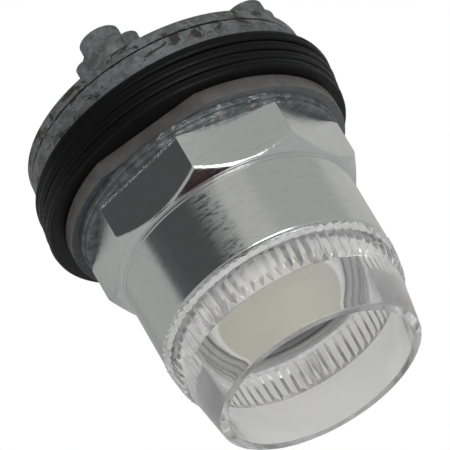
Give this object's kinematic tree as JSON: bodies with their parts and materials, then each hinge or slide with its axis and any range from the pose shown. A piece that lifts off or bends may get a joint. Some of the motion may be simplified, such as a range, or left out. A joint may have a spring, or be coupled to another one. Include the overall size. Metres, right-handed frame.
{
  "type": "panel-mount illuminated push button",
  "caption": "Round panel-mount illuminated push button with an octagonal ring nut, rubber gaskets, rear posts and a clear knurled guard round an opal lens.",
  "frame": {"origin": "on the button's axis, in the plane where the panel's front face meets the trim washer", "axes": "+Z along the button's axis towards the user, +Y towards one of the four rear posts, which is also the side of the trim washer's flat, +X completes a right-handed frame"},
  "size_m": [0.0496, 0.0488, 0.0579],
  "materials": {
    "zinc_casting": "as-cast zinc, slightly stained, satin",
    "zinc_washer": "zinc plated, dull blue-grey with a few copper-tinted spots",
    "chrome": "bright chrome plate with fine grain and pits",
    "gasket_rubber": "black rubber, dull",
    "trim_plastic": "warm grey moulded plastic, dark slate front face",
    "clear_plastic": "clear moulded plastic, polished, faint lavender tint",
    "opal_plastic": "opal cream plastic, smooth",
    "plunger_plastic": "black moulded plastic",
    "socket_plastic": "brown phenolic moulding",
    "seal_rubber": "black rubber, smooth",
    "seal_silicone": "milky white silicone rubber, smooth",
    "spring_steel": "bright drawn wire",
    "nickel_brass": "nickel plated brass",
    "bare_brass": "bare brass",
    "lamp_glass": "clear glass",
    "screw_steel": "zinc plated steel"
  },
  "bodies": {
    "base": {"base_casting": "zinc_casting", "gasket_rear": "gasket_rubber", "gasket_second": "gasket_rubber", "gasket_third": "gasket_rubber", "gasket_front": "gasket_rubber", "return_spring": "spring_steel", "plunger_seal": "seal_rubber", "socket_body": "socket_plastic", "socket_shell": "nickel_brass", "socket_clip": "spring_steel", "centre_contact": "bare_brass", "contact_spring": "spring_steel", "lamp_cap": "nickel_brass", "lamp_glass": "lamp_glass", "shell_terminal": "bare_brass", "centre_terminal": "bare_brass", "terminal_screws": "screw_steel"},
    "button": {"plunger": "plunger_plastic", "lens": "opal_plastic", "lens_seal": "seal_rubber", "retaining_clip": "spring_steel"},
    "clamp_washers": {"trim_washer": "trim_plastic", "thrust_washer": "zinc_washer"},
    "ring_nut": {"ring_nut": "chrome"},
    "guard_seal": {"guard_seal": "seal_silicone"},
    "guard": {"guard": "clear_plastic"}
  },
  "joints": [
    {"name": "press", "type": "slide", "parent": "base", "child": "button", "axis": [0, 0, -1], "range_m": [0, 0.0032], "stiffness_N_per_m": 1400, "springref_m": -0.0025, "deforming": ["return_spring"]},
    {"name": "nut_rise", "type": "slide", "parent": "base", "child": "clamp_washers", "axis": [0, 0, 1], "range_m": [0, 0.006]},
    {"name": "nut_turn", "type": "hinge", "parent": "clamp_washers", "child": "ring_nut", "pos_m": [0, 0, 0], "axis": [0, 0, 1], "range_deg": [0, 1440]},
    {"name": "guard_rise", "type": "slide", "parent": "ring_nut", "child": "guard_seal", "axis": [0, 0, 1], "range_m": [0, 0.0045]},
    {"name": "guard_turn", "type": "hinge", "parent": "guard_seal", "child": "guard", "pos_m": [0, 0, 0], "axis": [0, 0, 1], "range_deg": [0, 1080]}
  ],
  "couplings": [
    {"joint": "nut_rise", "follows": "nut_turn", "m_per_rad": 0.00023873},
    {"joint": "guard_rise", "follows": "guard_turn", "m_per_rad": 0.00023873}
  ]
}
